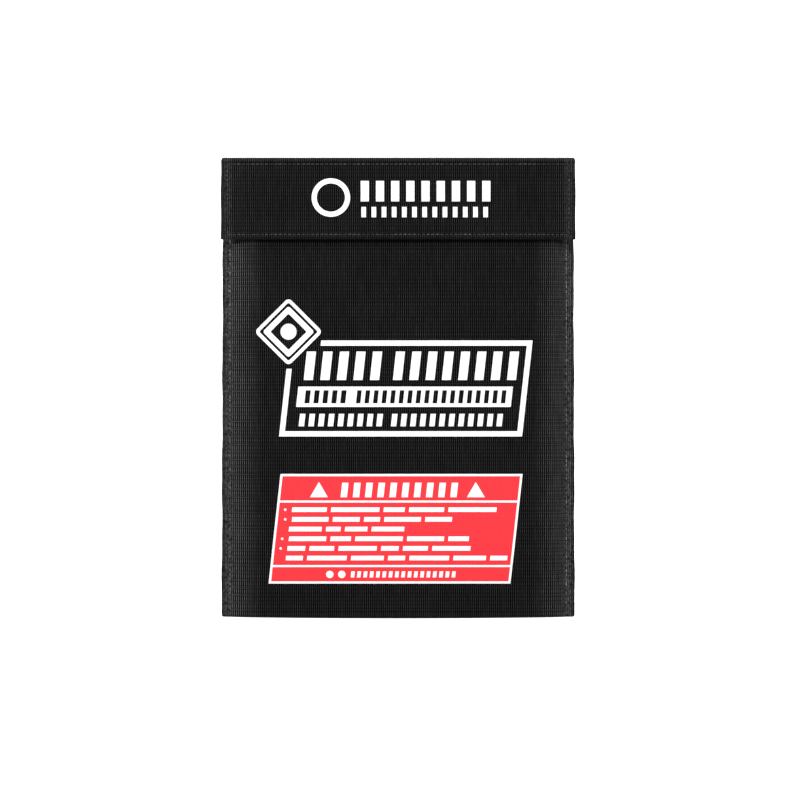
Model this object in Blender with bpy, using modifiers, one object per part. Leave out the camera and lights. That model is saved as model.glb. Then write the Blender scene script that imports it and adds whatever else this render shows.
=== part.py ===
"""A flat fire-resistant battery bag lying on its back, closed by a fold-over flap with hook-and-loop tape.

Frame: metres, +Z up, the origin under the middle of the bag on the surface that it lies on. +Y runs to the
mouth and +X to the right of the printed front. Every layer of cloth is a thin closed sheet of its own.
"""

import math

import bmesh
import bpy
import numpy as np
from mathutils import Vector

# Driving dimensions, in metres.
LENGTH = 0.300  # bottom fold to top fold
WIDTH = 0.229  # pouch, over its stitched side edges
FLAP_WIDTH = 0.2305
FLAP_DROP = 0.0535  # top fold to the flap's lower edge
CLOTH = 0.0006  # coated glass-fibre cloth
LINING = 0.0003  # heat barrier cloth
TAPE = 0.0008  # hook tape and loop tape
THREAD = 0.0004
GAP = 0.0003  # between sheets that lie on each other
SEAM = 0.006  # stitched band along each side
FLANK = 0.016  # run in which a wall climbs from the seam to its full height
MOUTH_ROOM = 0.0056  # clear height between the linings at the mouth
BELLY_ROOM = 0.0075  # and over the middle of the bag
BOTTOM_ROOM = 0.0046  # and next to the bottom fold
FOLD_REACH = 0.0035  # how far the top fold stands past the flat of the flap
MOUTH_INSET = 0.012  # top fold to the front wall's edge
HEM = 0.010  # turned-in strip at the mouth
FILM = 0.0002  # transfer film that the print is made of

# Heights of the layers, worked out from the stack of sheets.
LAYER_STEP = CLOTH + GAP  # outside of the cloth to outside of the lining
WALL = LAYER_STEP + LINING
SEAM_TOP = 2 * WALL + GAP
MOUTH_TOP = 2 * WALL + MOUTH_ROOM
BELLY_TOP = 2 * WALL + BELLY_ROOM
BOTTOM_TOP = 2 * WALL + BOTTOM_ROOM
LOOP_BASE = MOUTH_TOP + GAP
HOOK_BASE = LOOP_BASE + TAPE + GAP
FLAP_TOP = HOOK_BASE + TAPE + GAP + WALL

# Places along Y.
TOP = LENGTH / 2
BOTTOM = -LENGTH / 2
FOLD_START = TOP - FOLD_REACH
FLAP_EDGE = TOP - FLAP_DROP
MOUTH = TOP - MOUTH_INSET
MOUTH_FLAT_END = FLAP_EDGE - 0.001  # the front wall is level from here to the mouth
MOUTH_RAMP = 0.060
BOTTOM_RAMP_TOP = BOTTOM + 0.055
BOTTOM_RAMP = 0.050

# The top fold is half an ellipse. Each crease lies on the cloth's outside, an eighth of a turn from its end.
FOLD_HALF_HEIGHT = FLAP_TOP / 2
CREASE = math.pi / 4
CREASE_CLEARANCE = 0.00015
PANEL_HALF = WIDTH / 2 - SEAM  # the front wall ends at the side stitching

TAPE_HALF_WIDTH = 0.104
LOOP_LOW = FLAP_EDGE + 0.0045
LOOP_HIGH = MOUTH - 0.0040
HOOK_LOW = FLAP_EDGE + 0.0040
HOOK_HIGH = MOUTH - 0.0020
FLAP_STITCH_LOW = FLAP_EDGE + 0.0030
FLAP_STITCH_HIGH = TOP - 0.0042
FLAP_STITCH_HALF = FLAP_WIDTH / 2 - 0.0037
SEAM_STITCH = WIDTH / 2 - 0.0046

# The print on the front wall leans to the right as it rises.
LEAN = 0.11
TITLE_MIDDLE = (0.005, -0.0007)
TITLE_HALF = (0.079, 0.0312)
TITLE_STROKE = 0.0034
BADGE_MIDDLE = (-0.0713, 0.0362)
BADGE_HALF = 0.0222
NOTICE_MIDDLE = (-0.0017, -0.0920)
NOTICE_HALF = (0.0787, 0.0357)
NOTICE_BORDER = 0.0015
NOTICE_LINE_STARTS = (-0.069, -0.069, -0.071, -0.071, -0.072, -0.073)
NOTICE_LINE_ENDS = (0.064, 0.035, 0.004, 0.046, 0.047, 0.071)

BLACK = (0.012, 0.012, 0.013, 1)
CHARCOAL = (0.03, 0.03, 0.032, 1)
SILVER_GREY = (0.42, 0.42, 0.40, 1)
WHITE = (0.88, 0.88, 0.88, 1)
RED = (0.85, 0.045, 0.06, 1)


def clear_scene():
    for old in list(bpy.data.objects):
        bpy.data.objects.remove(old)


def make_material(name, colour, roughness):
    material = bpy.data.materials.new(name)
    material.use_nodes = True
    shader = material.node_tree.nodes["Principled BSDF"]
    shader.inputs["Base Color"].default_value = colour
    shader.inputs["Roughness"].default_value = roughness
    shader.inputs["Metallic"].default_value = 0.0
    return material


def smooth(t):
    """0 to 1 with level ends."""
    t = min(max(t, 0.0), 1.0)
    return t * t * (3 - 2 * t)


def wall_height(y):
    """Height of the front wall's outside along the middle of the bag."""
    swell = (BELLY_TOP - MOUTH_TOP) * smooth((MOUTH_FLAT_END - y) / MOUTH_RAMP)
    fall = (BELLY_TOP - BOTTOM_TOP) * smooth((BOTTOM_RAMP_TOP - y) / BOTTOM_RAMP)
    return MOUTH_TOP + swell - fall


def front_height(x, y):
    """Height of the front wall's outside, pinched down to the seam at each side."""
    climb = smooth((PANEL_HALF - abs(x)) / FLANK)
    return SEAM_TOP + (wall_height(y) - SEAM_TOP) * climb


def fold_radius(x):
    """The bottom fold is half a circle, as high as the front wall where they meet."""
    return front_height(x, BOTTOM) / 2


def across(half, flank_steps=5, middle_steps=4):
    """X stations, close together on the flanks."""
    flank = np.linspace(PANEL_HALF - FLANK, half, flank_steps + 1)
    middle = np.linspace(-(PANEL_HALF - FLANK), PANEL_HALF - FLANK, middle_steps + 1)
    return np.concatenate([-flank[:0:-1], middle, flank[1:]])


def make_sheet(name, columns, rows, place, thickness, material):
    """A grid whose vertex at column x and row t goes to place(x, t), thickened away from its normal side."""
    bpy.ops.mesh.primitive_grid_add(
        x_subdivisions=len(columns) - 1, y_subdivisions=len(rows) - 1, size=2
    )
    sheet = bpy.context.object
    sheet.name = sheet.data.name = name
    for vertex in sheet.data.vertices:
        column = round((vertex.co.x + 1) / 2 * (len(columns) - 1))
        row = round((vertex.co.y + 1) / 2 * (len(rows) - 1))
        vertex.co = place(columns[column], rows[row])
    weld_ends(sheet.data)
    solid = sheet.modifiers.new("thickness", "SOLIDIFY")
    solid.thickness = thickness
    solid.offset = -1
    solid.use_even_offset = True
    finish(sheet, material)
    return sheet


def weld_ends(mesh):
    """Joins the ends of a grid that has been closed into a ring or drawn to a point."""
    work = bmesh.new()
    work.from_mesh(mesh)
    bmesh.ops.remove_doubles(work, verts=work.verts, dist=0.000001)
    work.to_mesh(mesh)
    work.free()


def make_strip(name, size, centre, material):
    """A flat strip of tape or cloth, from a unit cube with its scale applied."""
    bpy.ops.mesh.primitive_cube_add(size=1)
    strip = bpy.context.object
    strip.name = strip.data.name = name
    for vertex in strip.data.vertices:
        vertex.co = Vector(a * b for a, b in zip(vertex.co, size))
    strip.location = centre
    finish(strip, material)
    return strip


def make_thread(name, points, material, closed=False):
    """A run of sewing thread lying on the cloth, through the points given."""
    curve = bpy.data.curves.new(name, "CURVE")
    curve.dimensions = "3D"
    curve.bevel_depth = THREAD / 2
    curve.bevel_resolution = 2
    curve.use_fill_caps = not closed
    line = curve.splines.new("POLY")
    line.points.add(len(points) - 1)
    for spot, point in zip(line.points, points):
        spot.co = (*point, 1)
    line.use_cyclic_u = closed
    thread = bpy.data.objects.new(name, curve)
    bpy.context.scene.collection.objects.link(thread)
    finish(thread, material)
    return thread


def finish(piece, material):
    """Gives a piece its material and moves it into the bag's collection."""
    piece.data.materials.append(material)
    for collection in list(piece.users_collection):
        collection.objects.unlink(piece)
    bag.objects.link(piece)
    if piece.type == "MESH":
        piece.data.shade_smooth()


def hinge_at(name, y, z):
    """An empty on a joint's axis, which runs along X."""
    empty = bpy.data.objects.new(name, None)
    empty.empty_display_size = 0.01
    empty.location = (0, y, z)
    bag.objects.link(empty)
    return empty


def hang_on(empty, pieces):
    """Parents pieces to a hinge's empty without moving them."""
    bpy.context.view_layer.update()
    for piece in pieces:
        piece.parent = empty
        piece.matrix_parent_inverse = empty.matrix_world.inverted()


def top_fold_point(angle, depth):
    """(y, z) on the top fold: angle 0 at the back wall, pi at the flap, and depth in from the outside."""
    along = (FOLD_REACH * math.cos(angle), FOLD_HALF_HEIGHT * math.sin(angle))
    length = math.hypot(*along)
    y = FOLD_START + FOLD_REACH * math.sin(angle) - depth * along[1] / length
    z = FOLD_HALF_HEIGHT * (1 - math.cos(angle)) + depth * along[0] / length
    return y, z


def crease_margin():
    """Angle on the top fold that is one clearance long at a crease."""
    speed = math.hypot(FOLD_REACH * math.cos(CREASE), FOLD_HALF_HEIGHT * math.sin(CREASE))
    return CREASE_CLEARANCE / speed


def make_back_wall(depth, half, thickness, material, name):
    """The level back wall with the start of the top fold, as far as the lower crease."""
    flat_end = BOTTOM + fold_radius(0) + GAP
    angles = np.linspace(0, CREASE - crease_margin(), 5)
    rows = [("flat", flat_end)] + [("fold", angle) for angle in angles]

    def place(x, row):
        kind, value = row
        if kind == "flat":
            return Vector((x, BOTTOM + fold_radius(x) + GAP, depth))
        return Vector((x, *top_fold_point(value, depth)))

    columns = across(half)[::-1]
    return make_sheet(name, columns, rows, place, thickness, material)


def make_front_layer(depth, half, low, high, thickness, material, name):
    """A layer of the front wall from low to high. With no low it starts at the bottom fold."""
    count = 2 + round((high - (BOTTOM if low is None else low)) / 0.010)

    def place(x, step):
        start = BOTTOM + fold_radius(x) + GAP if low is None else low
        y = start + (high - start) * step
        return Vector((x, y, front_height(x, y) - depth))

    return make_sheet(name, across(half), np.linspace(0, 1, count), place, thickness, material)


def on_front(x, y):
    """A point for thread that lies on the front wall."""
    return x, y, front_height(x, y) + GAP + THREAD / 2


def make_film(name, corners, lift, material, on_flap=False):
    """A four-cornered piece of transfer film, draped on the flap or on the front wall.

    The corners run lower left, lower right, upper right, upper left. Two that are the same give a triangle.
    """
    points = [Vector(corner) for corner in corners]
    height = max(point.y for point in points) - min(point.y for point in points)
    steps = np.linspace(0, 1, 2 + round(height / 0.008))

    def place(across_step, up_step):
        low = points[0].lerp(points[1], across_step)
        high = points[3].lerp(points[2], across_step)
        x, y = low.lerp(high, up_step)
        base = FLAP_TOP if on_flap else front_height(x, y)
        return Vector((x, y, base + lift + FILM))

    return make_sheet(name, steps, steps, place, FILM, material)


def leaning(middle, low, high):
    """Corners of a block whose sides lean with the print. low and high are (x, y) counted from the middle."""
    x, y = middle
    places = ((low[0], low[1]), (high[0], low[1]), (high[0], high[1]), (low[0], high[1]))
    return [(x + u + LEAN * v, y + v) for u, v in places]


def make_band(name, outer, inner, lift, material):
    """A flat band of film between two lines of points."""
    rows = (0, 1)

    def place(index, row):
        x, y = (outer, inner)[row][index]
        return Vector((x, y, lift + FILM))

    return make_sheet(name, range(len(outer)), rows, place, FILM, material)


def make_bottom_fold(depth, half, thickness, material, name):
    """Half a tube that turns from the back wall to the front wall, pinched at the side seams."""
    angles = np.linspace(0, math.pi, 11)

    def place(x, angle):
        radius = fold_radius(x)
        inner = radius - depth
        y = BOTTOM + radius - inner * math.sin(angle)
        return Vector((x, y, radius - inner * math.cos(angle)))

    return make_sheet(name, across(half), angles, place, thickness, material)


def make_top_fold(depth, half, thickness, material, name):
    """The strip between the two creases, which stands up while the bag is shut."""
    angles = np.linspace(CREASE + crease_margin(), math.pi - CREASE - crease_margin(), 9)

    def place(x, angle):
        return Vector((x, *top_fold_point(angle, depth)))

    return make_sheet(name, (half, 0, -half), angles, place, thickness, material)


def make_flap_layer(depth, half, low, thickness, material, name):
    """A layer of the flap: the last part of the top fold and the level part down to its lower edge."""
    angles = np.linspace(math.pi - CREASE + crease_margin(), math.pi, 5)
    rows = [("fold", angle) for angle in angles] + [("flat", low)]

    def place(x, row):
        kind, value = row
        if kind == "flat":
            return Vector((x, value, FLAP_TOP - depth))
        return Vector((x, *top_fold_point(value, depth)))

    return make_sheet(name, (half, 0, -half), rows, place, thickness, material)


def make_seam_edge(side, name, material):
    """The turned and stitched band along one side of the pouch."""
    length = TOP - BOTTOM - MOUTH_INSET - fold_radius(WIDTH / 2) - GAP
    middle = BOTTOM + fold_radius(WIDTH / 2) + GAP + length / 2
    width = SEAM - GAP
    centre = (side * (WIDTH / 2 - width / 2), middle, SEAM_TOP - CLOTH / 2)
    return make_strip(name, (width, length, CLOTH), centre, material)


def build_pouch(cloth, barrier, tape, thread):
    """What stays on the table: both walls, the bottom fold, the side seams and the loop tape."""
    make_back_wall(0, WIDTH / 2, CLOTH, cloth, "back_panel")
    make_back_wall(LAYER_STEP, PANEL_HALF, LINING, barrier, "back_lining")
    make_bottom_fold(0, WIDTH / 2, CLOTH, cloth, "bottom_fold")
    make_bottom_fold(LAYER_STEP, PANEL_HALF, LINING, barrier, "bottom_fold_lining")
    make_front_layer(0, PANEL_HALF, None, MOUTH, CLOTH, cloth, "front_panel")
    make_front_layer(LAYER_STEP, PANEL_HALF, None, MOUTH - HEM - GAP, LINING, barrier, "front_lining")
    make_front_layer(LAYER_STEP, PANEL_HALF, MOUTH - HEM, MOUTH, CLOTH, cloth, "mouth_hem")
    make_front_layer(-GAP - TAPE, TAPE_HALF_WIDTH, LOOP_LOW, LOOP_HIGH, TAPE, tape, "loop_strip")
    hem_line = MOUTH - 0.0018
    make_thread("mouth_hem_thread", [on_front(x, hem_line) for x in across(TAPE_HALF_WIDTH)], thread)
    for side, word in ((-1, "left"), (1, "right")):
        make_seam_edge(side, f"{word}_seam_edge", cloth)
        height = SEAM_TOP + GAP + THREAD / 2
        ends = [(side * SEAM_STITCH, y, height) for y in (BOTTOM + SEAM, MOUTH - SEAM)]
        make_thread(f"{word}_seam_thread", ends, thread)


def build_title_print(white, black):
    """The badge and the slanted frame with plain bars in it."""
    for name, half, layer, film in (
        ("badge_base_print", BADGE_HALF, 1, white),
        ("badge_field_print", BADGE_HALF - 0.0031, 2, black),
        ("badge_centre_print", 0.008, 3, white),
    ):
        x, y = BADGE_MIDDLE
        corners = [(x, y - half), (x + half, y), (x, y + half), (x - half, y)]
        make_film(name, corners, layer * GAP + (layer - 1) * FILM, film)

    across_half, up_half = TITLE_HALF
    inset = TITLE_STROKE
    outline = ((-1, 0.41), (-1, -1), (1, -1), (1, 1), (-0.74, 1))

    def corner(u, v, cut):
        y = v * up_half if abs(v) < 1 else v * (up_half - cut)
        x = u * across_half if abs(u) < 1 else u * (across_half - cut)
        return TITLE_MIDDLE[0] + x + LEAN * y, TITLE_MIDDLE[1] + y

    outer = [corner(u, v, 0) for u, v in outline]
    inner = [corner(u, v, inset) for u, v in outline]
    make_band("title_frame_print", outer, inner, BELLY_TOP + GAP, white)
    for name, low, high in (
        ("title_first_bar_print", (-0.067, 0.0055), (-0.0180, 0.0240)),
        ("title_second_bar_print", (-0.0090, 0.0055), (0.0710, 0.0240)),
        ("title_white_bar_print", (-0.0700, -0.0120), (0.0695, 0.0012)),
        ("title_small_bar_print", (-0.0670, -0.0246), (0.0650, -0.0165)),
    ):
        make_film(name, leaning(TITLE_MIDDLE, low, high), GAP, white)


def build_notice_print(white, red):
    """The red panel with a white border, two rules, two triangles and plain bars in place of wording."""
    half_x, half_y = NOTICE_HALF
    inner_x = half_x - NOTICE_BORDER
    inner_y = half_y - NOTICE_BORDER
    make_film("notice_base_print", leaning(NOTICE_MIDDLE, (-half_x, -half_y), (half_x, half_y)), GAP, white)
    panel = leaning(NOTICE_MIDDLE, (-inner_x, -inner_y), (inner_x, inner_y))
    make_film("notice_panel_print", panel, 2 * GAP + FILM, red)
    lift = 3 * GAP + 2 * FILM
    reach = inner_x - GAP
    for name, low, high in (
        ("notice_upper_rule_print", (-reach, 0.0171), (reach, 0.0184)),
        ("notice_lower_rule_print", (-reach, -0.0249), (reach, -0.0236)),
        ("notice_header_bar_print", (-0.038, 0.0206), (0.037, 0.0300)),
        ("notice_footer_bar_print", (-0.040, -0.0317), (0.042, -0.0277)),
    ):
        make_film(name, leaning(NOTICE_MIDDLE, low, high), lift, white)
    for row, (start, end) in enumerate(zip(NOTICE_LINE_STARTS, NOTICE_LINE_ENDS)):
        y = -0.0795 - 0.0063 * row
        corners = [(start, y - 0.0019), (end, y - 0.0019), (end, y + 0.0019), (start, y + 0.0019)]
        make_film(f"notice_line_{row + 1}_print", corners, lift, white)
    for word, x in (("left", -0.0515), ("right", 0.0505)):
        corners = [(x - 0.0057, -0.0714), (x + 0.0057, -0.0714), (x, -0.0617), (x, -0.0617)]
        make_film(f"notice_{word}_triangle_print", corners, lift, white)


def build_top_fold(cloth, barrier):
    """The standing strip between the creases."""
    pieces = [
        make_top_fold(0, WIDTH / 2, CLOTH, cloth, "top_fold"),
        make_top_fold(LAYER_STEP, PANEL_HALF, LINING, barrier, "top_fold_lining"),
    ]
    hang_on(hinge_at("lower_crease", *top_fold_point(CREASE, 0)), pieces)


def build_flap(cloth, barrier, tape, thread, white):
    """The flap with its lining, hook tape, stitching and print."""
    hook_size = (2 * TAPE_HALF_WIDTH, HOOK_HIGH - HOOK_LOW, TAPE)
    hook_centre = (0, (HOOK_HIGH + HOOK_LOW) / 2, HOOK_BASE + TAPE / 2)
    height = FLAP_TOP + GAP + THREAD / 2
    half = FLAP_STITCH_HALF
    low = FLAP_STITCH_LOW
    high = FLAP_STITCH_HIGH
    corners = ((-half, low), (half, low), (half, high), (-half, high))
    turns = np.linspace(0, 2 * math.pi, 33)
    rings = [[(-0.0437 + r * math.cos(a), 0.1233 + r * math.sin(a)) for a in turns] for r in (0.0125, 0.0092)]
    pieces = [
        make_flap_layer(0, FLAP_WIDTH / 2, FLAP_EDGE, CLOTH, cloth, "flap_cover"),
        make_flap_layer(LAYER_STEP, PANEL_HALF, FLAP_EDGE + 0.001, LINING, barrier, "flap_lining"),
        make_strip("hook_strip", hook_size, hook_centre, tape),
        make_thread("flap_thread", [(*corner, height) for corner in corners], thread, closed=True),
        make_band("flap_emblem_print", *rings, FLAP_TOP + GAP, white),
    ]
    for word, left, low, right, high in (
        ("upper", -0.0243, 0.1208, 0.0599, 0.1341),
        ("lower", -0.0239, 0.1105, 0.0583, 0.1179),
    ):
        corners = [(left, low), (right, low), (right, high), (left, high)]
        pieces.append(make_film(f"flap_{word}_bar_print", corners, GAP, white, on_flap=True))
    hang_on(hinge_at("upper_crease", *top_fold_point(math.pi - CREASE, 0)), pieces)


clear_scene()
bag = bpy.data.collections.new("battery_bag")
bpy.context.scene.collection.children.link(bag)
outer_cloth = make_material("coated_cloth", BLACK, 0.5)
inner_cloth = make_material("barrier_cloth", SILVER_GREY, 0.7)
fastener_tape = make_material("fastener_tape", BLACK, 0.9)
sewing_thread = make_material("sewing_thread", CHARCOAL, 0.6)
white_film = make_material("white_film", WHITE, 0.5)
red_film = make_material("red_film", RED, 0.5)
build_pouch(outer_cloth, inner_cloth, fastener_tape, sewing_thread)
build_title_print(white_film, outer_cloth)
build_notice_print(white_film, red_film)
build_top_fold(outer_cloth, inner_cloth)
build_flap(outer_cloth, inner_cloth, fastener_tape, sewing_thread, white_film)
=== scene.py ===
import math

import bpy
import numpy as np
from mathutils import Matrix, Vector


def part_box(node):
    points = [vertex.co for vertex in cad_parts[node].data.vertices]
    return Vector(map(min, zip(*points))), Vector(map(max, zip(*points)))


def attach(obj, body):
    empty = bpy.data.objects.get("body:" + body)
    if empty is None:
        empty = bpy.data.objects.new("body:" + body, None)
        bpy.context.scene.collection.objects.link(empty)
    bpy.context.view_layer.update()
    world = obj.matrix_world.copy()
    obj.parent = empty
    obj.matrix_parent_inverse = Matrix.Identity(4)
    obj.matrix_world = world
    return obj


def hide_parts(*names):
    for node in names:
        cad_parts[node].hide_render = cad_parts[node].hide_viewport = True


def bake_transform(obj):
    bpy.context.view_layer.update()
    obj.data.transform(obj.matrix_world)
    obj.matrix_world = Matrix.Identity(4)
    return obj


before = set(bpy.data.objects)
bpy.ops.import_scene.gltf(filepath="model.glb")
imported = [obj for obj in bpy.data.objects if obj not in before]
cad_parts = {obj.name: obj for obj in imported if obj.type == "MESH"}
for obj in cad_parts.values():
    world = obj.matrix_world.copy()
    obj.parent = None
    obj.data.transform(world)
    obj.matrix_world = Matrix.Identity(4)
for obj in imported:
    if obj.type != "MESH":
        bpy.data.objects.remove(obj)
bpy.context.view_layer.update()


# ---- Front wall -------------------------------------------------------------------------------------------
# The printed front is one piece of coated glass-fibre cloth that comes up round the bottom fold. Its sides
# are turned in and sewn to the back, so it rises from the two seams like a thin pillow, and its mouth edge
# is turned in 10 mm.

BOTTOM = float(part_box("bottom_fold")[0][1])
MOUTH = float(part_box("front_panel")[1][1])
SEAM_TOP = float(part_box("left_seam_edge")[1][2])
BELLY_TOP = float(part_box("front_panel")[1][2])
BOTTOM_TOP = float(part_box("bottom_fold")[1][2])
MOUTH_TOP = float(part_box("mouth_hem")[1][2]) + 0.0009
FLAP_EDGE = float(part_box("flap_cover")[0][1])
SEAM_STITCH = float(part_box("right_seam_thread")[0][0]) + 0.0002
FOLD_Y = np.array(BOTTOM + 0.0035)
MOUTH_HALF = 0.1143
SEAM_HALF = 0.1145
BOTTOM_HALF = 0.1149
WIDEST_HALF = 0.115
CLOTH = 0.0006
FLANK = 0.017
TURN_IN = 0.0073
MOUTH_TURN_IN = 0.010
HEM_STEP = 0.0008
RIB = 0.00138
WEFT = 0.00246


def ease(t):
    """0 to 1 with level ends, as 3t^2 - 2t^3."""
    t = np.clip(t, 0, 1)
    return t * t * (3 - 2 * t)


def body_half_width(y):
    """Half the pouch's width: 114.3 mm by the flap, 115 mm at the bottom, and a slow waver of the sewing."""
    slope = MOUTH_HALF + 0.0007 * np.clip((FLAP_EDGE - y) / 0.245, 0, 1)
    waver = 0.00016 * np.sin(y / 0.0107 + 0.6) + 0.00010 * np.sin(y / 0.0041)
    corner = 0.0004 * ease((BOTTOM + 0.0012 - y) / 0.0012)
    return slope + waver - corner


def bottom_edge(x):
    """Y of the bottom fold's outside: it bows out by 0.9 mm in the middle, as 1 - (x / widest half)^2."""
    return BOTTOM - 0.0009 * (1 - (x / WIDEST_HALF) ** 2)


def seam_crinkle(x, y):
    """Puckers of the stitched band: waves along Y that slant outwards, and are 0 at the stitching."""
    out = np.clip((np.abs(x) - SEAM_STITCH) / 0.0046, 0, 1)
    slanted = np.sin(2 * np.pi * (y + 0.55 * np.abs(x)) / 0.0052 + 1.3 * np.sin(y / 0.013))
    slow = np.sin(y / 0.0089 + 2.0 * np.sign(x)) * 0.6
    return (0.00026 * slanted + 0.00020 * slow) * ease(out * 3)


def front_level(y):
    """Height along the middle: level at the mouth, 2 mm higher at the belly, and lower at the bottom fold."""
    swell = (BELLY_TOP - MOUTH_TOP) * ease((FLAP_EDGE - 0.001 - y) / 0.060)
    fall = (BELLY_TOP - BOTTOM_TOP) * ease((-0.095 - y) / 0.050)
    return MOUTH_TOP + swell - fall


def front_height(x, y):
    """Outside of the front: up from each seam as 1 - (1 - t)^2.2, with low waves and a stitched groove."""
    reach = np.clip((SEAM_STITCH - 0.0008 - np.abs(x)) / FLANK, 0, 1)
    climb = 1 - (1 - reach) ** 2.2
    waves = 0.00010 * np.sin(x / 0.0117 + 0.9 * np.sin(y / 0.037)) * np.sin(y / 0.0290 + 0.4)
    waves = waves + 0.00013 * np.sin(x / 0.0310 - y / 0.0430 + 1.1)
    pucker = 0.00016 * np.sin(2 * np.pi * y / 0.0063 + np.sin(y / 0.011))
    pucker = pucker * np.exp(-((reach - 0.10) / 0.12) ** 2)
    groove = 0.00040 * np.exp(-(((np.abs(x) - SEAM_STITCH) / 0.00060) ** 2))
    band = SEAM_TOP + 0.0002 + seam_crinkle(x, y)
    return band + (front_level(y) - band) * climb + (waves + pucker) * ease(reach * 2) - groove


def side_columns(half, fine=0.00055, middle=0.004):
    """X stations from -1 to 1 of the half width: close together near the seams, far apart in the middle."""
    edge = np.arange(0.104, half, fine)
    flank = np.arange(0.092, 0.104, 0.0012)
    inner = np.arange(0, 0.092, middle)
    right = np.concatenate([inner, flank, edge, [half]])
    return np.concatenate([-right[:0:-1], right]) / half


def sheet_mesh(name, outer, inner, texture, rim=0.35, rim_steps=3, around=False):
    """Closes two grids of points (rows, columns, 3) into a sheet with rounded edges, and lays its weave map.

    Between the two faces each edge point goes from outer to inner and bulges by rim times the thickness times
    sin(pi s), away from its neighbour inside the edge. With around, the columns join up into a ring.
    """
    rows, columns = outer.shape[:2]
    count = rows * columns
    index = np.arange(count).reshape(rows, columns)
    if around:
        index = np.concatenate([index, index[:, :1]], axis=1)
        loops = [(index[0, :-1], index[1, :-1]), (index[-1, :-1][::-1], index[-2, :-1][::-1])]
    else:
        edge = np.concatenate([index[0, :-1], index[:-1, -1], index[-1, :0:-1], index[:0:-1, 0]])
        inside_row = np.clip(np.arange(rows), 1, rows - 2)
        inside_column = np.clip(np.arange(columns), 1, columns - 2)
        nearest = index[np.ix_(inside_row, inside_column)].ravel()
        loops = [(edge, nearest[edge])]
    a, b, c, d = index[:-1, :-1], index[:-1, 1:], index[1:, 1:], index[1:, :-1]
    faces = [np.stack([a, b, c, d], -1).reshape(-1, 4), np.stack([d, c, b, a], -1).reshape(-1, 4) + count]
    flat_outer, flat_inner = outer.reshape(-1, 3), inner.reshape(-1, 3)
    flat_texture = texture.reshape(-1, 2)
    points, maps = [flat_outer, flat_inner], [flat_texture, flat_texture]
    start = 2 * count
    for loop, neighbour in loops:
        away = (flat_outer[loop] + flat_inner[loop] - flat_outer[neighbour] - flat_inner[neighbour]) / 2
        away /= np.linalg.norm(away, axis=1, keepdims=True) + 1e-12
        thickness = np.linalg.norm(flat_outer[loop] - flat_inner[loop], axis=1, keepdims=True)
        rings = [loop]
        for step in range(1, rim_steps):
            share = step / rim_steps
            ring = flat_outer[loop] * (1 - share) + flat_inner[loop] * share
            points.append(ring + away * thickness * rim * math.sin(math.pi * share))
            maps.append(flat_texture[loop] + 0.0004 * share)
            rings.append(np.arange(start, start + len(loop)))
            start += len(loop)
        rings.append(loop + count)
        for upper, lower in zip(rings[:-1], rings[1:]):
            after_upper, after_lower = np.roll(upper, -1), np.roll(lower, -1)
            faces.append(np.stack([upper, lower, after_lower, after_upper], -1))
    mesh = bpy.data.meshes.new(name)
    every_face = np.concatenate(faces)
    every_map = np.concatenate(maps)
    mesh.from_pydata(np.concatenate(points).tolist(), [], every_face.tolist())
    corner_map = every_map[every_face.ravel()].astype(np.float32)
    mesh.uv_layers.new(name="weave").data.foreach_set("uv", corner_map.ravel())
    mesh.shade_smooth()
    piece = bpy.data.objects.new(name, mesh)
    bpy.context.scene.collection.objects.link(piece)
    return piece


def front_sheet(name, depth, thickness, half_width, top_edge, rows, columns):
    """Half a turn up round the bottom fold, then to the top edge. It lies depth in from the outside."""
    turns = np.linspace(0, np.pi, 15)[:-1, None]
    steps = np.linspace(0, 1, rows)[:, None]
    x = columns[None, :] * WIDEST_HALF
    at_fold = body_half_width(FOLD_Y)
    share = half_width / BOTTOM_HALF
    radius = front_height(x * share * at_fold / WIDEST_HALF, FOLD_Y) / 2
    start_y = bottom_edge(x) + radius
    panel_y = start_y + (top_edge - start_y) * steps
    panel_x = columns[None, :] * body_half_width(panel_y) * share
    height = front_height(panel_x, panel_y)
    fold_y = start_y - radius * np.sin(turns)
    fold_x = columns[None, :] * body_half_width(fold_y) * share
    wall = thickness(panel_x, panel_y)
    fold_wall = np.minimum(thickness(fold_x, fold_y), radius - depth - 0.0001)
    near, far = radius - depth, radius - depth - fold_wall
    outer_fold = np.stack([fold_x, start_y - near * np.sin(turns), radius - near * np.cos(turns)], -1)
    inner_fold = np.stack([fold_x, start_y - far * np.sin(turns), radius - far * np.cos(turns)], -1)
    outer_panel = np.stack([panel_x, panel_y, height - depth], -1)
    inner_panel = np.stack([panel_x, panel_y, height - depth - wall], -1)
    length = radius * (turns - np.pi) + start_y
    texture_fold = np.stack([fold_x, length], -1)
    texture_panel = np.stack([panel_x, panel_y], -1)
    outer = np.concatenate([outer_fold, outer_panel])
    inner = np.concatenate([inner_fold, inner_panel])
    return sheet_mesh(name, outer, inner, np.concatenate([texture_fold, texture_panel]))


def front_thickness(x, y):
    """One layer of cloth, and two where the sides and the mouth are turned in."""
    sides = ease((np.abs(x) - (SEAM_HALF - TURN_IN)) / HEM_STEP)
    mouth = ease((y - (MOUTH - MOUTH_TURN_IN)) / HEM_STEP)
    return CLOTH + 0.0007 * np.maximum(sides, mouth)


def math_node(tree, operation, a, b=None):
    """A Math node on sockets or numbers, and its result."""
    node = tree.nodes.new("ShaderNodeMath")
    node.operation = operation
    for socket, value in zip(node.inputs, (a, b)):
        if isinstance(value, (int, float)):
            socket.default_value = value
        elif value is not None:
            tree.links.new(value, socket)
    return node.outputs[0]


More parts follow.
